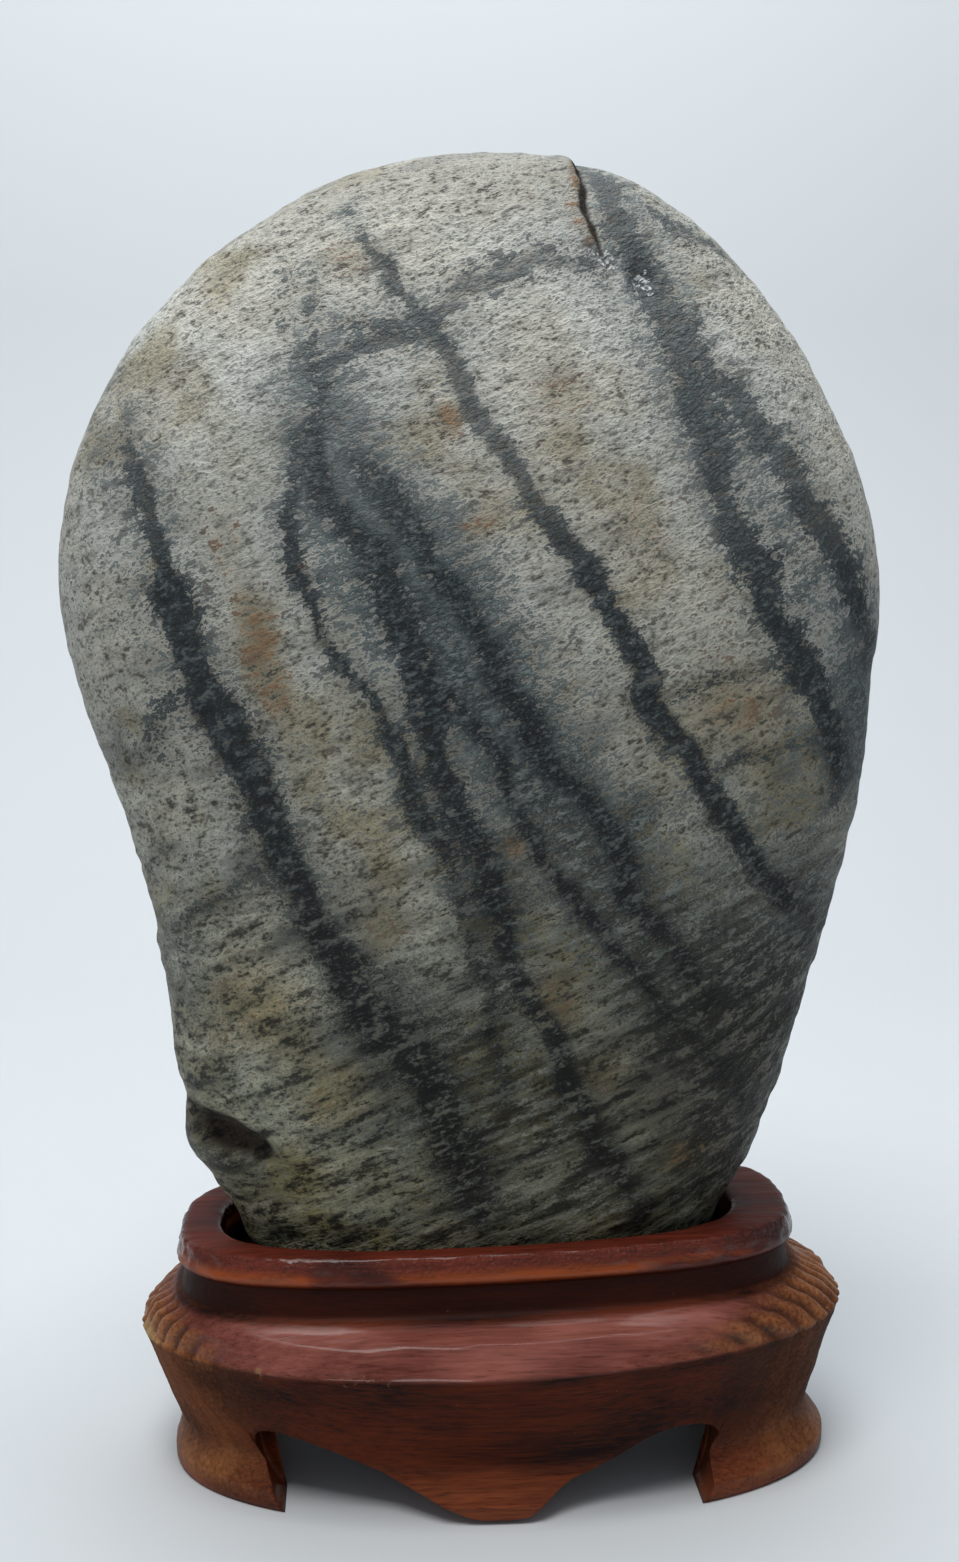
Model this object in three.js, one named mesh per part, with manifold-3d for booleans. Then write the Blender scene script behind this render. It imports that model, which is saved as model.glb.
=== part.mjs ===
// A scholar's rock on its carved hardwood stand.
// Millimetres, +Z up. The front faces -Y, and the stand's feet rest on z = 0.
import * as THREE from "three";
import { mergeVertices } from "three/addons/utils/BufferGeometryUtils.js";
import Module from "manifold-3d";

// ---- Stone: driving dimensions ----------------------------------------------------------------
const STONE_BOTTOM = 42.3; // the underside, hidden in the stand's pocket
const STONE_TOP = 269;
const STONE_BLUNTNESS = 2.35; // 2 is an ellipse in plan, more is squarer
const STONE_COLUMNS = 60;
const STONE_ROWS = 32;

// Cross sections from the underside to the crown: height, left edge, right edge, half depth.
// The first and the last have no width, so the skin closes on a point there.
const STONE_SECTIONS = [
  [STONE_BOTTOM, 0, 0, 0],
  [STONE_BOTTOM + 0.5, -28, 28, 12],
  [46.5, -47, 46.5, 20],
  [54, -52, 52, 22.2],
  [66, -59.4, 57.8, 25.4],
  [84, -63.2, 63.8, 30],
  [108, -65.7, 70.7, 34.4],
  [137, -72.2, 78, 37.6],
  [164, -80.1, 81.2, 38.6],
  [186, -84.1, 82.2, 38.2],
  [208, -80.8, 76.8, 35.8],
  [230, -70, 66, 30.6],
  [248, -53.6, 52.6, 23],
  [260, -35.8, 39, 15.4],
  [266.6, -16, 24.5, 8],
  [STONE_TOP, 5, 5, 0],
];

// Broad swells and hollows of the water-worn skin: x, z, face (-1 front, 1 back), reach, height.
const STONE_SWELLS = [
  [34, 243, -1, 15, -2.4],
  [8, 252, -1, 16, 1.0],
  [-34, 214, -1, 30, 1.1],
  [40, 196, -1, 30, -1.2],
  [-8, 160, -1, 34, 1.0],
  [-56, 118, -1, 24, -1.4],
  [30, 112, -1, 30, 1.0],
  [-49, 68, -1, 11, -1.8],
  [2, 84, -1, 24, -0.9],
  [-30, 180, 1, 36, -1.8],
  [36, 150, 1, 34, 1.2],
  [-6, 104, 1, 30, -1.5],
  [22, 226, 1, 24, -1.3],
];

// ---- Stand: driving dimensions ----------------------------------------------------------------
const STAND_LIFT = 0.02; // the carving climbs this much per millimetre to the right
const STAND_LEVEL_BELOW = 3; // the feet stay level up to here
const STAND_LEVEL_ABOVE = 26; // the whole climb is reached here
const STAND_COLUMNS = 80;

// Plans of the stand, each a blunt ellipse about its own middle on the X axis.
const POCKET = { middle: 2.2, length: 118, depth: 45.4, bluntness: 3.2, floor: 41.9, draft: 0.6 };
const RIM = { middle: 2.2, length: 130, depth: 55, bluntness: 3.1, height: 52.8 };
const ARRIS = { middle: 3, length: 149.6, depth: 77, bluntness: 2.15, height: 31.8 };
const WAIST = { middle: 3.6, length: 134.6, depth: 65, bluntness: 2.2, height: 9.6 };
const TOE = { middle: 4.8, length: 140, depth: 71, bluntness: 2.2, height: 3.8, draft: 0.5 };
const HOLLOW = { middle: 3.6, length: 116, depth: 46, bluntness: 2.6, ceiling: 34.5, round: 3 };
const BEVEL = { out: 1.1, height: 5.1 }; // the rim's lacquered face leans out going down
const NECK = { in: 1.2, top: 46.8, bottom: 40.3 }; // set back under the bevel
const EDGE = 0.6; // the rim's rounded edges

// How far each stretch bulges out (or hollows in) between its plans, and in how many steps.
const FLARE = { bow: -0.8, steps: 3 };
const APRON = { bow: -0.3, steps: 3 };
const SHOULDER = { bow: 1.4, steps: 5 };

// The cut under the front and back aprons, in x and z, from the left toe to the right toe. Each
// stretch is a curve: its one or two control points and its end.
const ARCH_LEFT_TOE = -41;
const ARCH_RIGHT_TOE = 43.2;
const ARCH_STRETCHES = [
  [[-46.6, 4], [-47, 15.2]], // inner side of the left foot
  [[-46.8, 17.6], [-43, 17.4]], // its top corner
  [[-34, 16.6], [-18, 7.4], [-4.6, 1.6]], // ogee down to the pendant
  [[-2.6, 0.9], [1.6, 0.9]], // the pendant's underside, just clear of the table
  [[6, 0.9], [8, 1.6]],
  [[13.4, 6.8], [17.6, 8.2]], // small knee on the pendant's right
  [[24, 9.2], [30, 15.8], [38, 16.2]], // ogee up to the right crown
  [[45.6, 16.2], [47, 12.8]], // top corner of the right foot
  [[46.6, 3.4], [ARCH_RIGHT_TOE, 0]], // its inner side
];

const MERGE_WITHIN = 1e-4; // vertices closer than this are one

// ---- Shared geometry --------------------------------------------------------------------------

// A blunt ellipse: |x/a|^n + |y/b|^n = 1, at the angle `turn`.
function bluntEllipse(a, b, bluntness, turn) {
  const cos = Math.cos(turn);
  const sin = Math.sin(turn);
  const x = a * Math.sign(cos) * Math.abs(cos) ** (2 / bluntness);
  const y = b * Math.sign(sin) * Math.abs(sin) ** (2 / bluntness);
  return [x, y];
}

// Closes a stack of rings, from the underside up the outside, into one skin. The first and the
// last ring are poles: their points all meet, so each has one triangle a column and not two.
function skin(rings) {
  const columns = rings[0].length;
  const position = rings.flat(2);
  const index = [];
  for (let row = 0; row + 1 < rings.length; row++) {
    for (let column = 0; column < columns; column++) {
      const next = (column + 1) % columns;
      const a = row * columns + column;
      const b = row * columns + next;
      const c = a + columns;
      const d = b + columns;
      if (row > 0) index.push(a, b, d);
      if (row + 2 < rings.length) index.push(a, d, c);
    }
  }
  const geometry = new THREE.BufferGeometry();
  geometry.setAttribute("position", new THREE.Float32BufferAttribute(position, 3));
  geometry.setIndex(index);
  return mergeVertices(geometry, MERGE_WITHIN);
}

// ---- Stone ------------------------------------------------------------------------------------

// Smooth curves up the stone: the left edge, with the half depth as its y, and the right edge.
function edgeCurves() {
  const left = STONE_SECTIONS.map(([z, x, , halfDepth]) => new THREE.Vector3(x, halfDepth, z));
  const right = STONE_SECTIONS.map(([z, , x]) => new THREE.Vector3(x, 0, z));
  return {
    left: new THREE.CatmullRomCurve3(left, false, "centripetal"),
    right: new THREE.CatmullRomCurve3(right, false, "centripetal"),
  };
}

// How far the swells push the skin out at x, z on one face (-1 front, 1 back).
function swellAt(x, z, side) {
  let push = 0;
  for (const [centreX, centreZ, face, reach, height] of STONE_SWELLS) {
    if (side !== face) continue;
    const apart = Math.hypot(x - centreX, z - centreZ) / reach;
    push += height * Math.exp(-apart * apart);
  }
  return push;
}

function makeStone() {
  const { left, right } = edgeCurves();
  const rings = [];
  for (let row = 0; row <= STONE_ROWS; row++) {
    const place = row / STONE_ROWS;
    const near = left.getPoint(place);
    const far = right.getPoint(place);
    const centre = (near.x + far.x) / 2;
    const halfWidth = (far.x - near.x) / 2;
    const halfDepth = Math.max(near.y, 0);
    const ring = [];
    for (let column = 0; column < STONE_COLUMNS; column++) {
      const turn = (2 * Math.PI * column) / STONE_COLUMNS;
      const [x, y] = bluntEllipse(halfWidth, halfDepth, STONE_BLUNTNESS, turn);
      const side = Math.sign(y);
      const facing = halfDepth > 0 ? y / halfDepth : 0; // the swells fade out towards the edges
      const push = swellAt(centre + x, near.z, side) * facing * facing;
      ring.push([centre + x, y + side * push, near.z]);
    }
    rings.push(ring);
  }
  return skin(rings);
}

// ---- Stand ------------------------------------------------------------------------------------

// The hand-carved climb: nothing at the feet, all of it above the waist.
function climb(x, z) {
  return STAND_LIFT * x * THREE.MathUtils.smoothstep(z, STAND_LEVEL_BELOW, STAND_LEVEL_ABOVE);
}

// One ring of the stand, from a plan at a height. A level ring doesn't follow the climb.
function standRing(plan, height, level = false) {
  const ring = [];
  for (let column = 0; column < STAND_COLUMNS; column++) {
    const turn = (2 * Math.PI * column) / STAND_COLUMNS;
    const [across, y] = bluntEllipse(plan.length / 2, plan.depth / 2, plan.bluntness, turn);
    const x = plan.middle + across;
    ring.push([x, y, height + (level ? 0 : climb(x, height))]);
  }
  return ring;
}

// The same plan, larger all round by `out`.
function grown(plan, out) {
  return { ...plan, length: plan.length + 2 * out, depth: plan.depth + 2 * out };
}

// Rings between two plans, bulging out (bow > 0) or hollowing in (bow < 0) between them.
function curvedRings(lower, upper, { bow, steps }) {
  const rings = [];
  for (let step = 1; step < steps; step++) {
    const share = step / steps;
    const bulge = bow * Math.sin(Math.PI * share);
    const mix = (key) => THREE.MathUtils.lerp(lower[key], upper[key], share);
    const plan = { bluntness: mix("bluntness"), length: mix("length"), depth: mix("depth") };
    plan.middle = mix("middle");
    rings.push(standRing(grown(plan, bulge), mix("height") + bulge));
  }
  return rings;
}

// The block before its arches are cut: hollow, feet, waist, arris, shoulder, neck, rim, pocket.
function makeBlock() {
  const centre = { middle: HOLLOW.middle, length: 0, depth: 0, bluntness: 2 };
  const neck = { ...grown(RIM, BEVEL.out - NECK.in), height: NECK.bottom };
  return skin([
    standRing(centre, HOLLOW.ceiling, true),
    standRing(grown(HOLLOW, -HOLLOW.round), HOLLOW.ceiling, true),
    standRing(HOLLOW, HOLLOW.ceiling - HOLLOW.round, true),
    standRing(HOLLOW, 0),
    standRing(grown(TOE, -TOE.draft), 0),
    standRing(TOE, TOE.height),
    ...curvedRings(TOE, WAIST, FLARE),
    standRing(WAIST, WAIST.height),
    ...curvedRings(WAIST, ARRIS, APRON),
    standRing(ARRIS, ARRIS.height),
    ...curvedRings(ARRIS, neck, SHOULDER),
    standRing(neck, NECK.bottom),
    standRing(neck, NECK.top),
    standRing(grown(RIM, BEVEL.out), RIM.height - BEVEL.height),
    standRing(RIM, RIM.height - EDGE),
    standRing(grown(RIM, -EDGE), RIM.height),
    standRing(grown(POCKET, EDGE), RIM.height),
    standRing(POCKET, RIM.height - EDGE),
    standRing(grown(POCKET, -POCKET.draft), POCKET.floor, true),
    standRing(centre, POCKET.floor, true),
  ]);
}

// One cutter for both aprons: it runs from front to back under the pendants.
function makeArchCutter() {
  const reach = ARRIS.depth + 10;
  const below = -1;
  const curveSegments = 6;
  const arch = new THREE.Shape();
  arch.moveTo(ARCH_LEFT_TOE, below);
  arch.lineTo(ARCH_LEFT_TOE, 0);
  for (const points of ARCH_STRETCHES) {
    if (points.length === 3) arch.bezierCurveTo(...points.flat());
    else arch.quadraticCurveTo(...points.flat());
  }
  arch.lineTo(ARCH_RIGHT_TOE, below);
  const cutter = new THREE.ExtrudeGeometry(arch, { depth: reach, bevelEnabled: false, curveSegments });
  cutter.rotateX(Math.PI / 2);
  cutter.translate(0, reach / 2, 0);
  return cutter;
}

function toSolid(wasm, geometry) {
  const bare = geometry.clone();
  bare.deleteAttribute("normal");
  bare.deleteAttribute("uv");
  const merged = mergeVertices(bare, MERGE_WITHIN);
  return new wasm.Manifold(
    new wasm.Mesh({
      numProp: 3,
      vertProperties: new Float32Array(merged.attributes.position.array),
      triVerts: new Uint32Array(merged.index.array),
    }),
  );
}

function toGeometry(solid) {
  const mesh = solid.getMesh();
  const geometry = new THREE.BufferGeometry();
  geometry.setAttribute("position", new THREE.BufferAttribute(mesh.vertProperties, 3));
  geometry.setIndex(new THREE.BufferAttribute(mesh.triVerts, 1));
  geometry.computeVertexNormals();
  return geometry;
}

// ---- Scene graph ------------------------------------------------------------------------------
const wasm = await Module();
wasm.setup();

const stoneMaterial = new THREE.MeshStandardMaterial({
  color: "#8f897c",
  roughness: 0.55,
  metalness: 0,
});
const standMaterial = new THREE.MeshStandardMaterial({
  color: "#5a2f24",
  roughness: 0.4,
  metalness: 0,
});

const stone = new THREE.Mesh(makeStone(), stoneMaterial);
stone.name = "stone";

const carved = toSolid(wasm, makeBlock()).subtract(toSolid(wasm, makeArchCutter()));
const stand = new THREE.Mesh(toGeometry(carved), standMaterial);
stand.name = "stand";

const group = new THREE.Group();
group.name = "scholars_rock";
group.add(stand, stone);

export default group;
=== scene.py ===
# %% [markdown]
# # A scholar's rock on its carved stand
# A water-worn river stone stands on end in a hardwood stand that was carved to fit it. Both skins
# are numpy surfaces with node materials. The CAD solids are loaded first: they fix every size.

# %% Open the frame
import math

import bpy
import numpy as np
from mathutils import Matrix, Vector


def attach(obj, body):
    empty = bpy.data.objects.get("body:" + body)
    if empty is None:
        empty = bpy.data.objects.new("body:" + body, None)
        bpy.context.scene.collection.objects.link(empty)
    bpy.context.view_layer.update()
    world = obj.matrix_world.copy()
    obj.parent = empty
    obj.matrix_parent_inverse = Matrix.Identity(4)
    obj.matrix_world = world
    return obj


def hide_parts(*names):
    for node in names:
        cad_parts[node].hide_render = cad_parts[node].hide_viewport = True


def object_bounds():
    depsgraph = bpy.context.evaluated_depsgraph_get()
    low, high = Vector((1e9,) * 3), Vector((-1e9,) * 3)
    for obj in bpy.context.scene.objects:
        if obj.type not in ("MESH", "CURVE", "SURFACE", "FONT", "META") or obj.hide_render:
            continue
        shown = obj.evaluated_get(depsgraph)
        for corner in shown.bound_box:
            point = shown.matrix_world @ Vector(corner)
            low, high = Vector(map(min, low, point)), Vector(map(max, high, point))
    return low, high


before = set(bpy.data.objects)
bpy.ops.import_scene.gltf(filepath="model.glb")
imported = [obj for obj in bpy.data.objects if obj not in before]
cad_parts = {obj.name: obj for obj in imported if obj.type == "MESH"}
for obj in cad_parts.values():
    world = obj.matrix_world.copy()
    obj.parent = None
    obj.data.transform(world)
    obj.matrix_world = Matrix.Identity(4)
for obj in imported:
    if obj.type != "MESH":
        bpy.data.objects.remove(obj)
CAD_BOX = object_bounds()

# %% [markdown]
# ## A skin from rings
# Both pieces are closed skins: a stack of rings is joined ring to ring, and the first and last ring
# shrink to one point, a pole. The stack is one array, so a shape is a formula of two numbers: how
# far along the stack, and how far round the ring.

# %% Skin helpers
MM = 0.001


def skin_normals(rings):
    """Outward unit normals of a stack of rings: cross(step round the ring, step along the stack).
    A pole takes the mean normal of the ring next to it."""
    along = np.gradient(rings, axis=0)
    around = np.roll(rings, -1, axis=1) - np.roll(rings, 1, axis=1)
    normals = np.cross(around, along)
    normals /= np.linalg.norm(normals, axis=2, keepdims=True) + 1e-12
    for pole, beside in ((0, 1), (-1, -2)):
        mean = normals[beside].mean(axis=0)
        normals[pole] = mean / np.linalg.norm(mean)
    return normals


def ring_faces(rows, columns):
    """Quads between the inner rings and triangle fans at the poles, the first and last point. Ring r
    and column c is point 1 + (r - 1) * columns + c."""
    column = np.arange(columns)
    following = (column + 1) % columns
    start = 1 + columns * np.arange(rows - 3)[:, None]
    quads = np.stack(
        [start + column, start + following, start + columns + following, start + columns + column],
        axis=-1,
    ).reshape(-1, 4)
    last = 1 + columns * (rows - 3)
    bottom = np.stack([np.zeros_like(column), 1 + following, 1 + column], axis=-1)
    top = np.stack([last + column, last + following, np.full_like(column, last + columns)], axis=-1)
    return quads, np.concatenate([bottom, top])


def flat_points(values):
    """A rings-by-columns array as one row per mesh point: first pole, inner rings, last pole."""
    inner = values[1:-1].reshape(-1, *values.shape[2:])
    return np.concatenate([values[:1, 0], inner, values[-1:, 0]])


def placed(name, data):
    """A new object that shows a mesh, a lamp or a lens in the scene."""
    thing = bpy.data.objects.new(name, data)
    bpy.context.scene.collection.objects.link(thing)
    return thing


def make_mesh(name, points, faces):
    """A smooth mesh, placed in the scene."""
    mesh = bpy.data.meshes.new(name)
    mesh.from_pydata(points, [], faces)
    mesh.polygons.foreach_set("use_smooth", np.ones(len(faces), dtype=bool))
    return placed(name, mesh)


def make_skin(name, rings, **attributes):
    """A closed mesh from rings in millimetres, with one number a point in each attribute."""
    quads, fans = ring_faces(*rings.shape[:2])
    points = flat_points(rings) * MM
    piece = make_mesh(name, points, quads.tolist() + fans.tolist())
    for key, values in attributes.items():
        layer = piece.data.attributes.new(key, "FLOAT", "POINT")
        layer.data.foreach_set("value", flat_points(values).astype(np.float32))
    piece.data.update()
    print(name, len(points), "points,", 2 * len(quads) + len(fans), "triangles")
    return piece


# %% [markdown]
# ## Curves, steps and weather
# A Catmull-Rom curve runs smoothly through a few chosen points. A smooth step fades a feature in.
# Value noise gives the unevenness of worn stone and hand carving: random numbers on a lattice,
# blended between its corners, and added up at several sizes.

# %% Number helpers
def through(points, at):
    """The Catmull-Rom curve through `points` at the places `at` (0 is the first, 1 the second...):
    P = (2 p1 + (p2 - p0) t + (2 p0 - 5 p1 + 4 p2 - p3) t^2 + (3 p1 - p0 - 3 p2 + p3) t^3) / 2.
    The first and the last point only steer the ends."""
    points = np.asarray(points, dtype=float)
    first = np.clip(np.floor(at).astype(int), 1, len(points) - 3)
    t = (at - first)[..., None]
    p0, p1, p2, p3 = (points[first + k] for k in (-1, 0, 1, 2))
    cubic = (3 * p1 - p0 - 3 * p2 + p3) * t**3
    return (2 * p1 + (p2 - p0) * t + (2 * p0 - 5 * p1 + 4 * p2 - p3) * t**2 + cubic) / 2


def step(x, low, high):
    """0 below `low`, 1 above `high`, and t^2 (3 - 2 t) between."""
    t = np.clip((x - low) / (high - low), 0, 1)
    return t * t * (3 - 2 * t)


def hump(distance, reach):
    """A bell: exp(-(distance / reach)^2)."""
    return np.exp(-((distance / reach) ** 2))


def lattice(corner, seed):
    """A fixed random number from -1 to 1 for each whole-number corner, from an integer hash."""
    primes = np.array([374761393, 668265263, 2246822519], dtype=np.uint64)
    mixed = (corner.astype(np.int64).astype(np.uint64) * primes).sum(axis=-1)
    mixed = (mixed + np.uint64(seed * 3266489917)) & np.uint64(0xFFFFFFFF)
    mixed = ((mixed ^ (mixed >> np.uint64(15))) * np.uint64(2246822519)) & np.uint64(0xFFFFFFFF)
    mixed = ((mixed ^ (mixed >> np.uint64(13))) * np.uint64(3266489917)) & np.uint64(0xFFFFFFFF)
    return (mixed ^ (mixed >> np.uint64(16))).astype(float) / 2**31 - 1


def noise(points, size, seed):
    """Value noise with bumps about `size` across: the lattice's eight corners round each point,
    blended with weights t^3 (6 t^2 - 15 t + 10) along each axis."""
    place = points / size
    low = np.floor(place)
    t = place - low
    weight = t**3 * (6 * t**2 - 15 * t + 10)
    total = 0
    for corner in np.ndindex(2, 2, 2):
        share = np.where(np.array(corner, dtype=bool), weight, 1 - weight).prod(axis=-1)
        total = total + share * lattice(low + np.array(corner), seed)
    return total


def weather(points, size, layers, seed, fade=0.5):
    """Noise added up: each layer is half the size of the last and `fade` times as strong."""
    total = 0
    for layer in range(layers):
        total = total + fade**layer * noise(points, size / 2**layer, seed + layer)
    return total


# %% [markdown]
# ## The stone's outline
# A river stone has no straight line, so it is drawn like a boat: a few cross sections from
# underside to crown, with a smooth curve between them. At the crown the curve carries on down the
# other side, with left and right swapped, which keeps the top round and not pointed.

# %% Stone sections
SECTIONS = np.array([  # height, left edge, right edge, half depth
    (42.3, 0, 0, 0),
    (42.8, -28, 28, 12),
    (46.5, -47, 46.5, 20),
    (54, -52, 52, 22.2),
    (66, -59.4, 57.8, 25.4),
    (84, -63.2, 63.8, 30),
    (108, -65.7, 70.7, 34.4),
    (137, -72.2, 78, 37.6),
    (164, -80.1, 81.2, 38.6),
    (186, -84.1, 82.2, 38.2),
    (208, -80.8, 76.8, 35.8),
    (230, -70, 66, 30.6),
    (248, -53.6, 52.6, 23),
    (260, -35.8, 39, 15.4),
    (266.6, -16, 24.5, 8),
    (269, 5, 5, 0),
])
BLUNTNESS = 2.35
STONE_ROWS, STONE_COLUMNS = 262, 360


def blunt_ellipse(half_length, half_depth, bluntness, turn):
    """Points of |x/a|^n + |y/b|^n = 1: x = a cos|cos|^(2/n - 1), y = b sin|sin|^(2/n - 1)."""
    cos, sin = np.cos(turn), np.sin(turn)
    x = half_length * np.sign(cos) * np.abs(cos) ** (2 / bluntness)
    y = half_depth * np.sign(sin) * np.abs(sin) ** (2 / bluntness)
    return x, y


def stone_rings():
    """Rings up the stone: blunt ellipses between the edge curves, at even steps along the outline, so
    that the mesh is as fine at the crown as below."""
    mirrored = SECTIONS[:, [0, 2, 1, 3]] * (1, 1, 1, -1)
    steered = np.concatenate([mirrored[1:2], SECTIONS, mirrored[-2:-1]])
    places = np.linspace(1, len(SECTIONS), 2000)
    height, left, right, depth = through(steered, places).T
    walked = np.hypot(np.diff(height), np.diff(right - left) / 2)
    walked = np.concatenate([[0], np.cumsum(walked)])
    even = np.interp(np.linspace(0, walked[-1], STONE_ROWS), walked, places)
    height, left, right, depth = (column[:, None] for column in through(steered, even).T)
    turn = np.linspace(0, 2 * np.pi, STONE_COLUMNS, endpoint=False)
    x, y = blunt_ellipse((right - left) / 2, np.maximum(depth, 0), BLUNTNESS, turn)
    rings = np.stack([x + (left + right) / 2, y, np.broadcast_to(height, x.shape)], axis=-1)
    rings[[0, -1]] = rings[[0, -1]].mean(axis=1, keepdims=True)
    return rings


stone = stone_rings()
print("stone outline, mm:", stone.min(axis=(0, 1)).round(1), stone.max(axis=(0, 1)).round(1))

# %% [markdown]
# ## Veins that run through the rock
# The dark veins are cracks that filled with another mineral. Each is a sheet that cuts through the
# whole stone, so it shows again on the back. To get that, every point of the skin is slid along
# the sheets' slant onto one drawing plane, and the veins are drawn there as lines of a few points.

# %% Vein routes
SLANT = np.array([0.22, -0.30])  # how far the sheets lean across and up for each mm of depth
DRAWN_AT = -36.0  # the drawing plane's y, near the front skin

VEINS = {  # strength, widths in mm (start, middle, end), smoke width, route
    "left": (1.0, (0.9, 2.5, 3.6), 7, [
        (-65, 208), (-63, 197), (-57, 178), (-50, 160), (-41, 138), (-29, 113), (-12, 89),
        (-6, 76), (1, 57)]),
    "left, second strand": (0.6, (0.6, 1.0, 1.0), 4, [(-35, 124), (-26, 115), (-17, 107)]),
    "left, low branch": (0.5, (1.0, 1.2, 1.2), 4, [(-30, 113), (-26, 100), (-20, 87)]),
    "neck": (0.6, (0.5, 0.9, 1.4), 3, [(-30, 238), (-31, 227), (-31, 214)]),
    "neck, faint": (0.35, (0.8, 1.2, 1.0), 3, [(-35, 240), (-35, 230), (-34, 220)]),
    "arc": (0.66, (0.8, 1.5, 1.0), 4, [
        (-28, 228), (-18, 229), (-8, 232), (-1, 237), (7, 241), (15, 242), (25, 240)]),
    "hook": (0.8, (1.2, 1.8, 0.8), 4, [(-33, 213), (-27, 223), (-19, 227), (-9, 227)]),
    "heart, left": (0.75, (0.8, 1.3, 1.8), 4, [
        (-36, 214), (-35, 189), (-32, 177), (-22, 162), (-12, 140), (-6, 128)]),
    "heart, core": (1.0, (1.8, 2.3, 2.2), 6, [
        (-31, 216), (-31, 204), (-20, 186), (-13, 165), (-10, 152), (1, 126)]),
    "heart, right": (0.9, (1.6, 1.6, 1.6), 5, [
        (-25, 209), (-17, 197), (-4, 177), (2, 165), (20, 140), (28, 125), (44, 103)]),
    "low line": (0.85, (0.9, 1.2, 1.3), 4, [
        (-12, 169), (-4, 159), (12, 132), (34, 102), (44, 90), (62, 70)]),
    "foot fork": (0.9, (1.2, 1.9, 2.2), 6, [
        (-5, 140), (1, 126), (4, 112), (11, 99), (18, 82), (35, 52)]),
    "foot, left tine": (0.6, (1.0, 1.4, 1.4), 5, [(-8, 134), (-4, 118), (0, 103), (4, 84)]),
    "long line": (1.0, (0.8, 1.3, 1.9), 2.6, [
        (-22, 247), (-15, 236), (-4, 219), (8, 199), (22, 177), (35, 154), (53, 130), (69, 112)]),
    "right band": (0.9, (2.0, 2.6, 2.8), 8, [
        (26, 260), (31, 248), (38, 227), (43, 206), (54, 180), (70, 150), (74, 140)]),
    "right band, outer": (0.9, (1.8, 2.4, 2.6), 7, [
        (34, 240), (47, 219), (62, 200), (77, 176), (82, 164)]),
    "crown edge": (0.5, (0.6, 0.9, 0.6), 2, [(36, 252), (48, 245), (57, 240)]),
    "spur": (0.45, (1.6, 1.6, 1.0), 5, [(-65, 148), (-58, 160), (-50, 165)]),
    "cross, low left": (0.45, (1.2, 1.2, 1.0), 5, [(-60, 108), (-48, 125), (-36, 131)]),
    "cross, right": (0.5, (0.6, 1.0, 0.7), 3, [(29, 163), (41, 166), (56, 167)]),
    "cross, low right": (0.5, (0.7, 1.1, 0.9), 3, [(36, 145), (50, 151), (65, 152)]),
}

# The cloudy dark heart of the rock, and painted shade on its lower right edge: middle, reach across
# and along, tilt in degrees, strength.
CLOUDS_AND_SHADE = [
    ((-27, 207), (8, 12), -20, 0.9),
    ((-19, 193), (11, 16), -30, 0.96),
    ((-9, 178), (11, 18), -36, 0.96),
    ((3, 160), (10, 18), -38, 0.88),
    ((14, 143), (10, 18), -38, 0.75),
    ((28, 120), (14, 20), -40, 0.7),
    ((43, 95), (14, 20), -40, 0.8),
    ((27, 141), (5, 5), 0, 0.5),
    ((68, 116), (5, 7), 0, 0.8),
    # painted shade: this oval darkens the lower right edge
    ((59, 96), (9, 24), -32, 0.8),
    ((73, 150), (7, 12), -20, 0.6),
    ((80, 168), (6, 12), -20, 0.5),
    ((-12, 100), (10, 14), -35, 0.55),
    ((-6, 78), (14, 16), -20, 0.5),
    ((12, 80), (12, 16), -20, 0.4),
    ((18, 58), (28, 12), 0, 0.5),
    ((50, 76), (10, 14), -10, 0.6),
    ((57, 194), (9, 22), -30, 0.42),
    ((38, 217), (6, 20), -22, 0.6),
    ((-50, 60), (9, 6), 0, 0.6),
    ((-54, 100), (6, 9), 0, 0.3),
    # painted shade: the last three ovals darken the lower right edge and corner
    ((68, 104), (15, 36), -22, 0.95),
    ((79, 152), (7, 24), -12, 0.85),
    ((58, 66), (15, 18), 0, 0.95),
]

# Iron stains: middle, reach, strength.
RUST = [
    ((-8, 215), (2.2, 3.2), 1.0),
    ((-35, 188), (1.2, 1.2), 1.0),
    ((-43, 174), (3.4, 9), 0.8),
    ((-39, 164), (3, 5), 0.6),
    ((-48, 190), (5, 8), 0.4),
    ((-3, 196), (3.5, 2.4), 0.75),
    ((15, 218), (8, 7), 0.3),
    ((-23, 241), (6, 4), 0.3),
    ((44, 170), (14, 20), 0.22),
    ((46, 160), (8, 7), 0.35),
    ((30, 196), (9, 8), 0.3),
    ((12, 104), (6, 7), 0.6),
    ((4, 136), (2.4, 3), 0.6),
    ((23, 88), (6, 6), 0.4),
    ((44, 66), (7, 6), 0.5),
    ((-44, 100), (12, 12), 0.35),
    ((-30, 82), (10, 9), 0.35),
    ((-20, 120), (7, 12), 0.3),
]

# %% [markdown]
# A vein's darkness at a point is a bell of the shortest distance to its route, cut into straight
# bits, and the bell's width changes along the way. A little noise bends the drawing plane first,
# because minerals never grow along a clean line.

# %% Vein fields
def drawn(points, bend=0, size=1, layers=0, seed=0):
    """Slides skin points along the sheets onto the drawing plane, (x, z) + slant * (y - plane),
    and bends that plane by noise, `bend` mm each way."""
    waves = [weather(points, size, layers, seed + k) for k in (0, 1)]
    slid = points[..., [0, 2]] + SLANT * (points[..., 1:2] - DRAWN_AT)
    return slid + bend * np.stack(waves, axis=-1)


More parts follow.
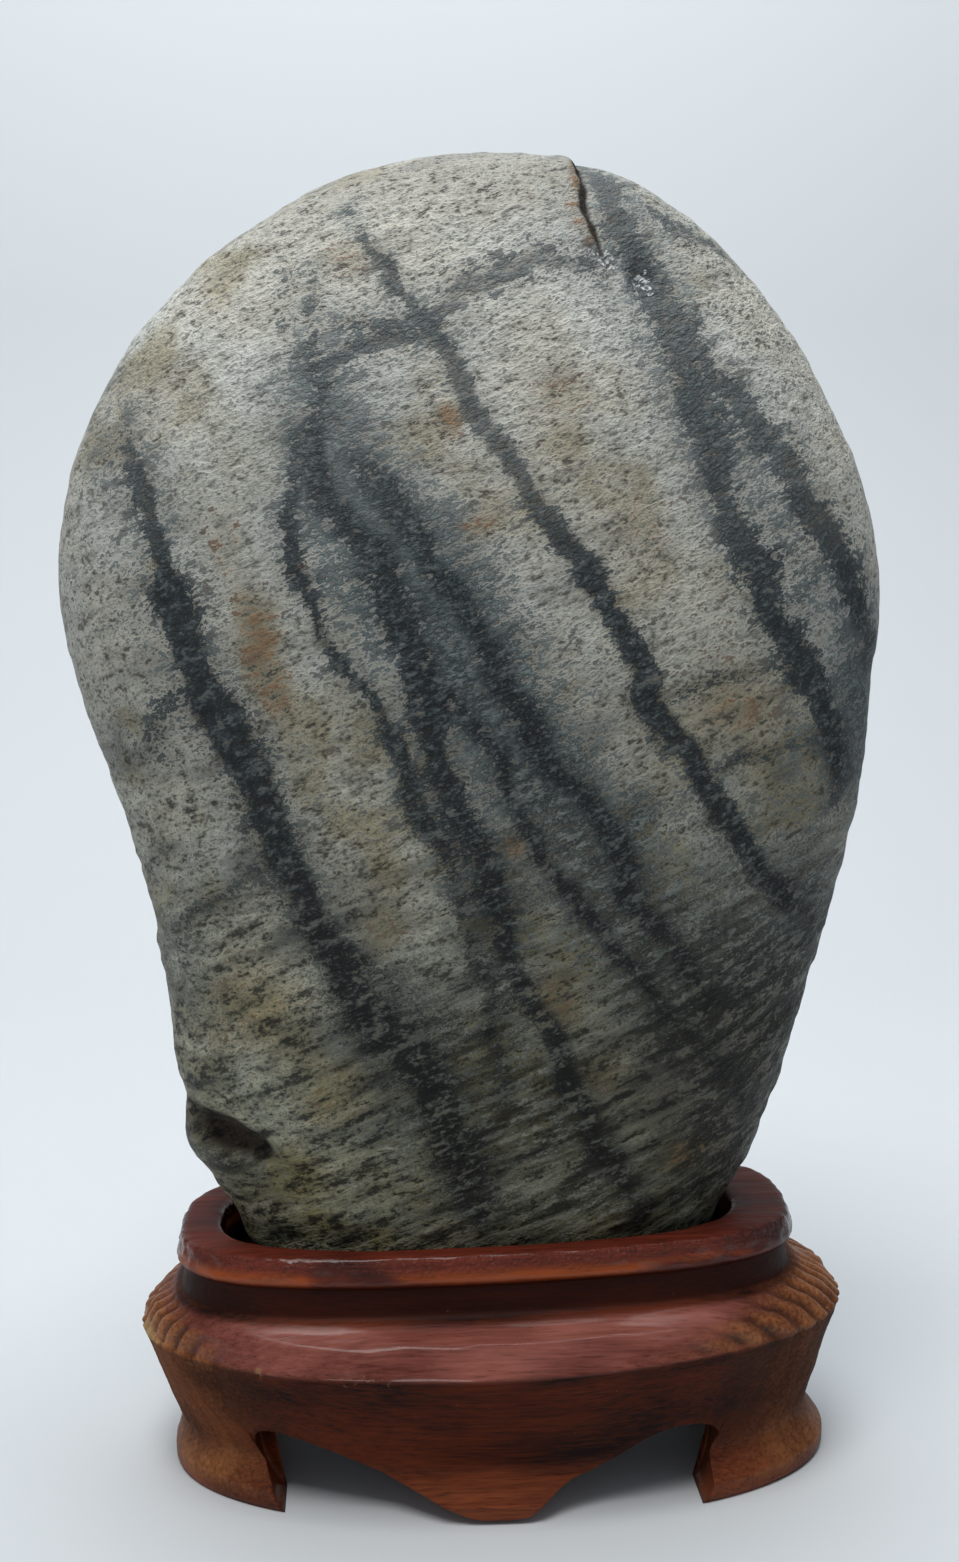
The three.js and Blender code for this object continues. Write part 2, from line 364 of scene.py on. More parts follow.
def route_distance(plane, route, bits=36):
    """Distance from each point to a route, and the share of the route passed at its nearest bit."""
    ends = [2 * np.array(route[0]) - route[1], 2 * np.array(route[-1]) - route[-2]]
    line = through([ends[0], *route, ends[1]], np.linspace(1, len(route), bits + 1))
    nearest = np.full(plane.shape[:-1], np.inf)
    share = np.zeros_like(nearest)
    for bit, (start, stop) in enumerate(zip(line[:-1], line[1:])):
        span = stop - start
        t = np.clip(((plane - start) @ span) / (span @ span), 0, 1)
        apart = np.linalg.norm(plane - start - t[..., None] * span, axis=-1)
        closer = apart < nearest
        nearest = np.where(closer, apart, nearest)
        share = np.where(closer, (bit + t) / bits, share)
    return nearest, share


def blot(plane, middle, reach, tilt=0.0):
    """An oval bell: exp(-(across / reach_x)^2 - (along / reach_y)^2), turned by `tilt` degrees."""
    angle = math.radians(tilt)
    x, z = (plane - middle)[..., 0], (plane - middle)[..., 1]
    across = x * math.cos(angle) - z * math.sin(angle)
    along = x * math.sin(angle) + z * math.cos(angle)
    return np.exp(-((across / reach[0]) ** 2) - (along / reach[1]) ** 2)


def vein_fields(points):
    """Three fields from 0 to 1: the veins' darkness, the clouds' darkness together with painted shade
    on the lower right edge, and the faint blue haze that spreads further out round both."""
    plane = drawn(points, 1.5, 9, 3, 11)
    frayed = 1 + 0.4 * weather(points, 7, 2, 15)
    vein = np.zeros(points.shape[:-1])
    clear = np.ones_like(vein)
    bright = np.ones_like(vein)
    for strength, widths, reach, route in VEINS.values():
        apart, share = route_distance(plane, route)
        width = np.interp(share, (0, 0.5, 1), widths) * frayed
        ends = np.interp(share, (0, 0.12, 0.8, 1), (0.55, 1, 1, 0.7))
        vein = np.maximum(vein, strength * ends * hump(apart, 1.6 * width))
        clear *= 1 - 0.5 * strength * hump(apart, reach)
        bright *= 1 - 0.4 * strength * hump(apart, 2.5 * reach)
    cloudy = np.ones_like(vein)
    for middle, reach, tilt, strength in CLOUDS_AND_SHADE:
        cloudy *= 1 - strength * blot(plane, middle, reach, tilt)
        bright *= 1 - 0.4 * strength * blot(plane, middle, np.multiply(reach, 1.5), tilt)
    return vein, 1 - cloudy * clear, 1 - bright


def rust_field(points):
    """Iron stains as a sum of soft ovals, on the drawing plane."""
    plane = drawn(points, 1.2, 5, 2, 21)
    total = sum(strength * blot(plane, middle, reach) for middle, reach, strength in RUST)
    return np.clip(total, 0, 1)


vein, smoke, haze = vein_fields(stone)
rust = rust_field(stone)
print("veined share of the skin:", round(float((vein > 0.5).mean()), 3))

# %% [markdown]
# ## Worn relief
# Water never rounds a stone evenly: broad swells, smaller dents, then the grain that stands proud
# where a soft mineral washed out. All of it is real shape, so it changes the outline too. The
# lower half is flaky, with long low ridges that rise to the right.

# %% Stone relief
SWELLS = [  # x, z, face (-1 front, 1 back), reach, height
    (34, 243, -1, 15, -2.4), (8, 252, -1, 16, 1.0), (-34, 214, -1, 30, 1.1),
    (40, 196, -1, 30, -1.2), (-8, 160, -1, 34, 1.0), (-56, 118, -1, 24, -1.4),
    (30, 112, -1, 30, 1.0), (-49, 68, -1, 11, -1.8), (2, 84, -1, 24, -0.9),
    (-30, 180, 1, 36, -1.8), (36, 150, 1, 34, 1.2), (-6, 104, 1, 30, -1.5), (22, 226, 1, 24, -1.3),
]
FOLIATION = math.radians(25)  # the flaky layers climb this steeply to the right


def swells(points, normals):
    """The broad swells of the CAD solid: bells on the front or the back, fading at the edges."""
    facing = np.clip(-normals[..., 1], -1, 1)
    total = 0
    for x, z, face, reach, height in SWELLS:
        apart = np.hypot(points[..., 0] - x, points[..., 2] - z)
        total = total + height * hump(apart, reach) * np.clip(-face * facing, 0, 1)
    return total


def layered(points, along, across, layers, seed):
    """Noise drawn out along the foliation: `along` mm long and `across` mm thick."""
    x, y, z = np.moveaxis(points, -1, 0)
    run = (x * math.cos(FOLIATION) + z * math.sin(FOLIATION)) / along
    rise = (z * math.cos(FOLIATION) - x * math.sin(FOLIATION)) / across
    return weather(np.stack([run, y / along, rise], axis=-1), 1.0, layers, seed)


def flakiness(points):
    """How flaky the stone is: nothing near the crown, all of it in the lower third."""
    return 1 - step(points[..., 2], 95, 190)


def skin_grain(points):
    """Uneven wear, from hand-sized swells down to grains, plus the low ridges of the flaky part."""
    worn = 0.75 * weather(points, 42, 2, 1) + 0.42 * weather(points, 15, 2, 4)
    fine = 0.17 * weather(points, 5.5, 2, 7) + 0.15 * weather(points, 2.6, 1, 9)
    flaky = 0.34 * layered(points, 16, 3.4, 2, 31) + 0.2 * layered(points, 7, 1.7, 1, 35)
    return worn + fine + flakiness(points) * (flaky + 0.16 * noise(points, 4, 36))


# %% [markdown]
# A few features are single events: the ledge near the crown where a flake came off, with two glassy
# hollows under it; a dark socket low on the left; and the notched left edge just above the stand.
# Each one is a small formula of the distance to its place.

# %% Stone scars
LEDGE = [(24, 264), (25, 258), (23, 250), (25, 243)]
GLASSY = [((25, 242.5), (3.2, 2.2), -1.7), ((33.5, 239), (2.4, 3.0), -1.6)]
SOCKET = ((-48, 68), (8, 4.6))
FISSURES = [  # width, depth, route
    (0.45, 0.5, [(31, 239), (30.5, 235), (31, 230)]),
    (0.5, 0.7, [(-57.5, 79), (-56, 73), (-56.5, 66)]),
    (0.4, 0.35, [(-23, 246), (-10, 233), (-4, 221)]),
    (0.4, 0.3, [(18, 103), (14, 95), (15, 84)]),
]


def scars(points, front):
    """Depth of the single features in mm, all on the front, and three fields from 0 to 1: how glassy
    each point is, how dark the socket and the ledge's crack are (a stain and painted shade), and the
    rusty stain beside the ledge."""
    plane = drawn(points, 0.6, 3, 1, 41)
    apart, share = route_distance(plane, LEDGE)
    across = np.interp(plane[..., 1], (243, 250, 258, 264), (25, 23, 25, 24))
    right_of = plane[..., 0] - across
    along = step(share, 0.0, 0.25) * (1 - 0.5 * step(share, 0.8, 1.0))
    depth = -1.6 * along * step(right_of, -0.5, 0.9) * hump(apart, 9)
    depth += along * (0.5 * hump(right_of + 2.2, 2) - 0.9 * hump(apart, 1.0))
    stain = along * hump(apart, 5) * (0.28 * hump(right_of + 1.5, 2.6) + 0.3 * hump(right_of + 4, 3))
    stain *= 1 + 0.8 * noise(points, 2.5, 45)
    glassy = np.zeros_like(depth)
    for middle, reach, deep in GLASSY:
        hollow = blot(plane, middle, reach)
        depth += deep * hollow * (1 + 0.9 * noise(points, 2.0, 43))
        glassy = np.maximum(glassy, step(hollow + 0.5 * noise(points, 2.0, 44), 0.3, 0.8))
    socket = blot(plane, *SOCKET, tilt=12)
    depth += -2.8 * step(socket, 0.12, 0.9)
    # The socket's darkness is partly a dark stain, partly painted shade in the hollow; the crack line
    # along the ledge is painted shade under its edge.
    socket = np.maximum(0.9 * socket, 0.8 * along * hump(apart, 1.1))
    depth += 0.9 * blot(plane, (-37.5, 68), (4.2, 2.4)) * step(plane[..., 0], -42, -38.5)
    for width, deep, route in FISSURES:
        crack, _ = route_distance(plane, route, bits=12)
        depth -= deep * hump(crack, width)
    return depth * front, glassy * front, socket * front, stain * front


def notch(points):
    """The chipped left edge above the stand: two shallow bites with a nub between them."""
    x, _, z = np.moveaxis(points, -1, 0)
    edge = 1 - step(x, -62, -50)
    bites = -1.3 * hump(z - 60, 4.5) - 1.0 * hump(z - 78, 3.5) + 0.7 * hump(z - 69.5, 3.5)
    return edge * bites


normals = skin_normals(stone)
front = step(-normals[..., 1], -0.1, 0.35)
scar, glassy, socket, stain = scars(stone, front)
rust = np.clip(rust + stain, 0, 1)
buried = step(stone[..., 2], 45, 58)  # the hidden foot stays inside the pocket
relief = skin_grain(stone) + scar + notch(stone) - 0.25 * vein
stone_skin = stone + normals * (swells(stone, normals) + relief * buried)[..., None]

# %% [markdown]
# Wide patches of colour are stored on the skin as well: how far down a point is, which darkens the
# lower stone (partly its olive colour, partly painted shade), the flaky streaks, the ochre
# weathering, the painted shade on the lower right corner, the milky quartz and the greyer crown.

# %% Stone patches
# Darker towards the bottom: partly the stone's olive colour, partly painted shade on the lower stone.
low = step(-stone[..., 2], -225, -60)
streak = 0.5 + 0.5 * layered(stone, 15, 3.6, 3, 31)
patchy = weather(stone, 30, 3, 81)
ochre = step(patchy + 0.5 * weather(stone, 7, 2, 84), 0.05, 0.75)
ochre = np.maximum(ochre, 0.9 * step(rust, 0.06, 0.4))
ochre = np.maximum(ochre, 0.8 * step(blot(drawn(stone), (42, 170), (19, 30), -20), 0.1, 0.7))
# Painted shade: darkens and browns the lower right corner, which faces away from the light.
umber = step(blot(drawn(stone), (52, 80), (26, 36), -30), 0.15, 0.85)
milky = step(weather(stone, 22, 3, 87) + 0.6 * haze * (1 - low), 0.15, 0.85)
crown = step(stone[..., 2] + 9 * patchy, 240, 262)
stone_piece = make_skin(
    "stone_skin", stone_skin, vein=vein, smoke=smoke, haze=haze, rust=rust, glassy=glassy,
    socket=socket, low=low, streak=streak, ochre=ochre, umber=umber, milky=milky, crown=crown,
)

# %% [markdown]
# ## The stand's plans
# The stand is one block of reddish hardwood. Seen from above, every level is a blunt ellipse,
# squarer at the rim and rounder at the feet, so the block is a table of plans, read between them.
# The carving sits a little higher to the right, and the levels don't share one middle.

# %% Stand plans
#        height, middle, half length, half depth, bluntness
POCKET = np.array([41.9, -0.6, 53.4, 22.1, 2.9])
RIM = np.array([52.8, 1.3, 64.1, 27.5, 3.1])
NECK = np.array([40.3, 1.3, 64.0, 27.4, 3.1])
ARRIS = np.array([31.8, 3.0, 74.8, 38.5, 2.15])
WAIST = np.array([9.6, 3.6, 67.3, 32.5, 2.2])
TOE = np.array([3.8, 4.8, 70.0, 35.5, 2.2])
HOLLOW = np.array([31.5, 3.6, 58.0, 23.0, 2.6])
CLIMB = 0.02  # rise for each mm to the right, from the feet to the shoulder


def climb(x, z):
    """How much higher the carving sits at x: nothing at the feet, CLIMB * x above the waist."""
    return CLIMB * x * step(z, 3, 26)


def grown(plan, out, height):
    """The same plan, `out` mm larger all round, at another height."""
    return np.array([height, plan[1], plan[2] + out, plan[3] + out, plan[4]])


def between(lower, upper, share, height):
    """A plan mixed from two others."""
    mixed = (1 - share) * np.asarray(lower) + share * np.asarray(upper)
    mixed[0] = height
    return mixed


def ring_points(plans, turn):
    """Points of the plans (one a row, or one for each point) at the angles `turn`."""
    height, middle, length, depth, bluntness = np.moveaxis(plans, -1, 0)
    x, y = blunt_ellipse(length, depth, bluntness, turn)
    x = x + middle
    return np.stack([x, y, height + climb(x, height)], axis=-1)


# %% [markdown]
# ## From pocket to arris
# The upper half is the same all the way round: pocket, flat rim, lacquered bevel, set-back neck,
# convex shoulder, and the crisp edge below it, the arris. Those are the corners of one profile.
# Walking along it in even steps and averaging each step with its neighbours rounds every corner
# slightly, just as sandpaper would.

# %% Upper profile
UPPER = np.array([
    grown(POCKET, -3, 41.9),
    grown(POCKET, 0, 42.6),
    grown(POCKET, 0.6, 51.6),
    grown(POCKET, 1.2, 52.8),
    grown(RIM, -0.9, 52.8),
    grown(RIM, 0, 52.2),
    grown(RIM, 1.2, 47.9),
    grown(RIM, 0.7, 46.9),
    grown(RIM, -0.3, 46.3),
    grown(NECK, 0, 40.9),
    between(NECK, ARRIS, 0.07, 40.1),
    between(NECK, ARRIS, 0.22, 39.5),
    between(NECK, ARRIS, 0.62, 37.1),
    between(NECK, ARRIS, 0.87, 34.4),
    ARRIS,
])
PROFILE_STEP = 0.5  # mm between rings


def walk(plans, spacing, softening):
    """Plans at even steps along the profile, as measured at the front. Each softening pass replaces
    a plan by (previous + 2 * itself + next) / 4."""
    travel = np.hypot(np.diff(plans[:, 3]), np.diff(plans[:, 0]))
    travel = np.concatenate([[0], np.cumsum(travel)])
    even = np.linspace(0, travel[-1], int(travel[-1] / spacing) + 1)
    rows = np.stack([np.interp(even, travel, column) for column in plans.T], axis=-1)
    for _ in range(softening):
        rows[1:-1] = (rows[:-2] + 2 * rows[1:-1] + rows[2:]) / 4
    last = rows[-1] + 0.2 * (rows[-2] - rows[-1])
    return np.concatenate([rows[:-1], [last], rows[-1:]])


upper = walk(UPPER, PROFILE_STEP, softening=1)
print("upper profile:", len(upper), "rings")

# %% [markdown]
# ## Aprons, arches and feet
# Below the arris the apron leans in to a waist and flares out at the toes. Front and back are cut
# away in two ogee arches round a low pendant. Cutting a finished mesh leaves ragged edges, so each
# column of the mesh starts at the arris and ends on the cut's outline instead, and the skin
# between keeps the block's own shape.

# %% Arch outline
LEFT_TOE, RIGHT_TOE = -41.0, 43.2
ARCH = [  # stretches of curve in x and z: one or two control points, then the end
    [(-46.6, 4), (-47, 15.2)],
    [(-46.8, 17.6), (-43, 17.4)],
    [(-34, 16.6), (-18, 7.4), (-4.6, 1.6)],
    [(-2.6, 0.9), (1.6, 0.9)],
    [(6, 0.9), (8, 1.6)],
    [(13.4, 6.8), (17.6, 8.2)],
    [(24, 9.2), (30, 15.8), (38, 16.2)],
    [(45.6, 16.2), (47, 12.8)],
    [(46.6, 3.4), (RIGHT_TOE, 0)],
]
ARCH_COLUMNS, END_COLUMNS = 164, 76


def bezier(points, t):
    """A Bezier curve by repeated mixing of neighbours, (1 - t) a + t b."""
    layer = [np.asarray(point, dtype=float) for point in points]
    while len(layer) > 1:
        layer = [(1 - t) * a + t * b for a, b in zip(layer[:-1], layer[1:])]
    return layer[0]


def arch_outline():
    """The cut from the left toe to the right toe, in even steps along its length, and the share of
    that length at each of its corners."""
    t = np.linspace(0, 1, 41)[1:, None]
    points, corners = [np.array([[LEFT_TOE, 0.0]])], [0]
    for stretch in ARCH:
        start = points[-1][-1]
        points.append(bezier([start, *stretch], t))
        corners.append(corners[-1] + len(t))
    line = np.concatenate(points)
    walked = np.concatenate([[0], np.cumsum(np.linalg.norm(np.diff(line, axis=0), axis=1))])
    even = np.linspace(0, walked[-1], ARCH_COLUMNS + 1)
    outline = np.stack([np.interp(even, walked, line[:, k]) for k in (0, 1)], axis=-1)
    return outline, even / walked[-1], walked[corners] / walked[-1]


outline, passed, corners = arch_outline()
print("arch outline:", outline.min(axis=0).round(1), outline.max(axis=0).round(1))


# %% [markdown]
# The apron's plan mixes the table's plans: straight from arris to waist, then a hollow curve out to
# the toe. To end a column exactly on the cut, the angle of a point is found from its x: the
# ellipse formula, solved backwards.

# %% Apron shape
def apron_plan(height):
    """Plan at each height below the arris. With t from waist down to toe, the flare is t^1.25."""
    height = np.asarray(height, dtype=float)[..., None]
    lean = np.clip((height - WAIST[0]) / (ARRIS[0] - WAIST[0]), 0, 1)
    flare = np.clip((WAIST[0] - height) / (WAIST[0] - TOE[0]), 0, 1) ** 1.25
    plan = WAIST + lean**1.08 * (ARRIS - WAIST) + flare * (TOE - WAIST)
    plumb = 0.5 * (1 - step(height[..., 0], 0, 1.2))  # the toe's worn lower edge
    plan[..., 2] -= plumb
    plan[..., 3] -= plumb
    plan[..., 0] = height[..., 0]
    return plan


def angle_at(x, plan):
    """The angle on a plan's front half where the ring has this x, from 180 to 360 degrees."""
    share = np.clip((x - plan[..., 1]) / plan[..., 2], -1, 1)
    cosine = np.sign(share) * np.abs(share) ** (plan[..., 4] / 2)
    return 2 * np.pi - np.arccos(cosine)


# Where the front columns leave the arris: wider than the cut at both feet, so that they don't cross.
LEAVES_ARRIS = np.interp(passed, corners[[0, 1, -2, -1]], (-60, -49.5, 50.5, 62))


def all_round(front_half):
    """Four runs of columns: back arch, left end, front arch, right end. The back mirrors the front,
    360 degrees - angle in reverse order, and the ends are even steps from toe to toe."""
    back_half = (2 * np.pi - front_half)[::-1]
    left_end = np.linspace(2 * np.pi - front_half[0], front_half[0], END_COLUMNS + 1)
    right_end = np.linspace(front_half[-1], 4 * np.pi - front_half[-1], END_COLUMNS + 1)
    return np.concatenate([back_half[:-1], left_end[:-1], front_half[:-1], right_end[:-1]])


top_turn = all_round(angle_at(LEAVES_ARRIS, ARRIS[None]))
foot_turn = all_round(angle_at(outline[:, 0], apron_plan(outline[:, 1])))
inner_turn = all_round(angle_at(outline[:, 0], HOLLOW[None]))
level = np.zeros(END_COLUMNS + 1)
foot_height = np.concatenate([outline[::-1, 1][:-1], level[:-1], outline[:-1, 1], level[:-1]])
print("columns round the stand:", len(top_turn))

# %% [markdown]
# The rings are stacked from the pocket's floor, over the rim, down to the cut, under the wall's
# thickness, up the inside of the hollow and in to the middle of its ceiling.

# %% Stand rings
APRON_ROWS, SOLE_ROWS, INNER_ROWS = 64, 9, 12


def hand_wobble(points):
    """What a hand and a knife add: slow waves of about half a millimetre, gone at the feet."""
    wave = 0.42 * noise(points * (1, 1, 0.4), 46, 51) + 0.22 * noise(points, 19, 52)
    return wave * step(points[..., 2], 3, 22)


def stand_rings():
    """All rings of the stand, and how much of the knife's work each point shows: 1 on the outside, 0
    in the hollow. The apron's columns go straight from arris to cut in angle and height, and the
    sole from the outer edge to the hollow."""
    over = ring_points(upper[:, None, :], top_turn)
    share = np.linspace(0, 1, APRON_ROWS + 1)[1:, None]
    share = np.concatenate([[[0.005]], share[:-1], [[0.994]], share[-1:]])
    height = (1 - share) * ARRIS[0] + share * foot_height
    apron = ring_points(apron_plan(height), (1 - share) * top_turn + share * foot_turn)
    edge_in = ring_points(np.broadcast_to(HOLLOW, (len(inner_turn), 5)), inner_turn)
    edge_in[:, 2] = apron[-1, :, 2]
    sole_share = np.concatenate([[0.03], np.linspace(0, 1, SOLE_ROWS)[1:]])[:, None, None]
    sole = (1 - sole_share) * apron[-1] + sole_share * edge_in
    rise = np.linspace(0, 1, INNER_ROWS)[1:, None]
    inside = np.broadcast_to(HOLLOW, (*(rise * top_turn).shape, 5)).copy()
    inside[..., 0] = (1 - rise) * foot_height + rise * HOLLOW[0]
    inner = ring_points(inside, (1 - rise) * inner_turn + rise * top_turn)
    ceiling_plans = [grown(HOLLOW, -1, 33.6), grown(HOLLOW, -3, 34.5), HOLLOW * (1, 1, 0.5, 0.5, 1)]
    ceiling_plans[-1][0] = 34.5
    ceiling = ring_points(np.array(ceiling_plans)[:, None, :], top_turn)
    floor = ring_points((upper[:1] * (1, 1, 0.5, 0.5, 1))[:, None, :], top_turn)
    poles = [ring.mean(axis=1, keepdims=True) + 0 * ring for ring in (floor, ceiling[-1:])]
    groups = [poles[0], floor, over, apron, sole, inner, ceiling, poles[1]]
    shown = [np.full(group.shape[:2], float(group is over)) for group in groups]
    shown[3] = (1 - step(share, 0.86, 0.99)) + 0 * height
    return np.concatenate(groups)[::-1], np.concatenate(shown)[::-1]


stand, shown = stand_rings()
print("stand outline, mm:", stand.min(axis=(0, 1)).round(1), stand.max(axis=(0, 1)).round(1))

# %% [markdown]
# ## Knife work and open grain
# Carvers finish a curve with many shallow cuts, each a hollow facet with a soft ridge round it. The
# squared distance to the nearest of some scattered points has just that shape. On the ends soft
# wood wears away, and the growth rings stand as grooves that run down over the shoulder.

# %% Stand relief
RING_SPACING = 3.6  # mm between growth rings at the ends


def cuts(points, length, width, seed):
    """Shallow bowls: (distance to the nearest scattered point)^2, in cells `length` x `width`."""
    x, y, z = np.moveaxis(points, -1, 0)
    place = np.stack([x / length + 0.12 * z / width, z / width, np.sign(y) * 7], axis=-1)
    low = np.floor(place)
    nearest = np.full(x.shape, np.inf)
    for dx in (-1, 0, 1):
        for dz in (-1, 0, 1):
            cell = low + (dx, dz, 0)
            spot = [0.5 + 0.42 * lattice(cell, seed + k) for k in (0, 1)]
            apart = (cell[..., 0] + spot[0] - place[..., 0]) ** 2
            apart += (cell[..., 1] + spot[1] - place[..., 1]) ** 2
            nearest = np.minimum(nearest, apart)
    return nearest


def band(x, rises, falls):
    """1 in a band of heights: a step up over `rises` and a step down over `falls`."""
    return step(x, *rises) * (1 - step(x, *falls))


def ring_phase(points):
    """Growth rings seen on the ends: planes of nearly constant y, a little arched and wavy."""
    x, y, z = np.moveaxis(points, -1, 0)
    wave = 1.5 * noise(points * (0.3, 1, 0.7), 13, 61) + 0.3 * noise(points, 3.5, 62)
    return (y + 0.006 * (z - 20) ** 2 + wave) / RING_SPACING


stand_normals = skin_normals(stand)
height = stand[..., 2] - climb(stand[..., 0], stand[..., 2])
outer = shown * step(np.abs(stand[..., 1]) / 24 + np.abs(stand[..., 0] - 3) / 60, 0.95, 1.05)
apron = band(height, (8, 14), (30.5, 32)) * outer
shoulder = band(height, (31.0, 32.4), (38.8, 40.0)) * outer
# The neck's very dark colour in the wood finish is painted shade on the set-back wall under the
# bevel.
neck = band(height, (39.8, 40.8), (46.6, 47.6)) * outer
bevel = band(height, (46.8, 48.2), (52.0, 52.9)) * outer
across = np.abs(stand_normals[..., 0])
on_shoulder = step(height, 31, 33)
starts = np.where(stand[..., 0] > 0, 0.12, 0.42)
end_grain = step(across, 0.28, 0.6) * (1 - on_shoulder)
end_grain += step(across, starts, starts + 0.25) * on_shoulder
end_grain *= outer * (1 - step(height, 39.6, 41))
groove = (0.5 + 0.5 * np.cos(2 * np.pi * ring_phase(stand))) ** 3
carved = band(height, (30.8, 32.5), (38.4, 40.2))
carving = 1.5 * (cuts(stand, 27, 4.6, 71) - 0.25) * shoulder
carving += 0.5 * (cuts(stand, 15, 3.4, 75) - 0.25) * bevel + 0.26 * noise(stand, 1.8, 76) * bevel
carving += 0.6 * (cuts(stand, 30, 10, 79) - 0.25) * apron
carving -= (0.12 + 0.75 * carved) * groove * end_grain * step(height, 5, 9)
fibre = 0.06 * noise(stand * (0.06, 1, 1), 0.9, 63) * outer
stand_skin = stand + stand_normals * (carving + fibre)[..., None]
stand_skin[..., 2] += hand_wobble(stand)
stand_skin[..., 2] = np.maximum(stand_skin[..., 2], 0)

wood_patch = 0.5 + 0.5 * weather(stand * (0.45, 1, 1), 13, 3, 65)
# Painted shade: the apron is darkened towards the right, the side away from the light.
wood_patch -= 0.004 * stand[..., 0] * apron  # the apron darkens to the right
lacquer = bevel * step(height + 1.2 * noise(stand, 9, 67), 48.6, 50.4)
edge_wear = hump(height - 31.9, 1.7) * step(noise(stand, 4.5, 66), -0.1, 0.5)
wear = edge_wear * (0.25 + 0.75 * (1 - step(stand[..., 0], -60, -42)))
stand_piece = make_skin(
    "stand_carved", stand_skin, end_grain=end_grain, groove=groove, bevel=bevel, neck=neck,
    shoulder=shoulder, level=height, wood_patch=wood_patch, wear=wear, carved=carved,
    lacquer=lacquer,
)

# %% [markdown]
# ## A small language for finishes
# A material is a sheet of nodes. Written as Python, the maths reads like maths: `Value` wraps one
# output of a node, and + - * on it add Math nodes. Colours never go through Math, which would turn
# them grey: they are mixed. Every other node comes from one method.

# %% Finish sheets
class Value:
    """One number that varies over a surface: an output socket on a finish's sheet."""

    def __init__(self, sheet, socket):
        self.sheet = sheet
        self.socket = socket

    def _maths(self, operation, *values):
        return self.sheet.node("ShaderNodeMath", {"operation": operation}, *values)

    def __add__(self, other):
        return self._maths("ADD", self, other)

    def __sub__(self, other):
        return self._maths("SUBTRACT", self, other)

    def __rsub__(self, other):
        return self._maths("SUBTRACT", other, self)

    def __mul__(self, other):
        return self._maths("MULTIPLY", self, other)

    def clipped(self):
        return self.sheet.node("ShaderNodeClamp", {}, self)

    def step(self, low, high):
        """0 below low, 1 above high, smooth between; swapped limits turn it upside down."""
        ends = (low, high, 0.0, 1.0) if low < high else (high, low, 1.0, 0.0)
        settings = {"interpolation_type": "SMOOTHSTEP"}
        return self.sheet.node("ShaderNodeMapRange", settings, self, *ends)

    __radd__ = __add__
    __rmul__ = __mul__


class Finish:
    """A material whose nodes are added by calls. Places are in millimetres on the object."""

    def __init__(self, name):
        self.material = bpy.data.materials.new(name)
        self.material.use_nodes = True
        self.tree = self.material.node_tree
        self.tree.nodes.clear()
        place = Value(self, self.tree.nodes.new("ShaderNodeTexCoord").outputs["Object"])
        self.place = self.node("ShaderNodeVectorMath", {"operation": "SCALE"}, place, Scale=1 / MM)

    def node(self, kind, settings, *inputs, out=0, **named):
        """Adds a node: settings first, then its inputs, in order or by name."""
        made = self.tree.nodes.new(kind)
        for key, value in settings.items():
            setattr(made, key, value)
        wanted = list(zip([socket for socket in made.inputs if socket.enabled], inputs))
        wanted += [(made.inputs[key.replace("_", " ")], value) for key, value in named.items()]
        for socket, value in wanted:
            if isinstance(value, Value):
                self.tree.links.new(value.socket, socket)
            else:
                socket.default_value = value
        enabled = [socket for socket in made.outputs if socket.enabled]
        return Value(self, made.outputs[out] if isinstance(out, str) else enabled[out])

    def attribute(self, name):
        """A number stored on the piece's points."""
        return self.node("ShaderNodeAttribute", {"attribute_name": name}, out="Fac")

    def cloud(self, place, size, detail, roughness):
        """Soft noise from 0 to 1, with features about `size` mm across."""
        return self.node(
            "ShaderNodeTexNoise", {}, Vector=place, Scale=1 / size, Detail=detail,
            Roughness=roughness, out="Fac",
        )

    def stretched(self, turn, stretch):
        """The place, turned and stretched, so that a pattern that reads it runs that way."""
        turned = self.node("ShaderNodeMapping", {}, Vector=self.place, Rotation=turn)
        return self.node("ShaderNodeVectorMath", {"operation": "DIVIDE"}, turned, stretch)

    def mixed(self, factor, first, second, blend="MIX"):
        """Two colours mixed by a factor from 0 to 1."""
        settings = {"data_type": "RGBA", "blend_type": blend, "clamp_factor": True}
        return self.node("ShaderNodeMix", settings, factor, first, second)

    def shade(self, factor, first, second):
        """Two screen colours, by their codes, mixed by a factor from 0 to 1."""
        return self.mixed(factor, paint(first), paint(second))

    def covered(self, colour, layers):
        """A colour under layers, each a mask and the colour that shows where the mask is 1."""
        for mask, over in layers:
            colour = self.mixed(mask, colour, over)
        return colour

    def bump(self, height, depth):
        """A height from 0 to 1 as fine relief, `depth` mm deep."""
        return self.node("ShaderNodeBump", {}, Strength=1.0, Distance=depth * MM, Height=height)

    def surface(self, piece, **sockets):
        """The shader itself, and the piece that wears it."""
        shader = self.node("ShaderNodeBsdfPrincipled", {}, out="BSDF", **sockets)
        output = self.tree.nodes.new("ShaderNodeOutputMaterial")
        self.tree.links.new(shader.socket, output.inputs["Surface"])
        piece.data.materials.append(self.material)
        print(self.material.name, len(self.tree.nodes), "nodes")


def paint(code):
    """A screen colour such as 8f897c as the linear red, green, blue and alpha that shaders use."""
    levels = [int(code[k:k + 2], 16) / 255 for k in (0, 2, 4)]
    linear = [v / 12.92 if v <= 0.04045 else ((v + 0.055) / 1.055) ** 2.4 for v in levels]
    return (*linear, 1.0)


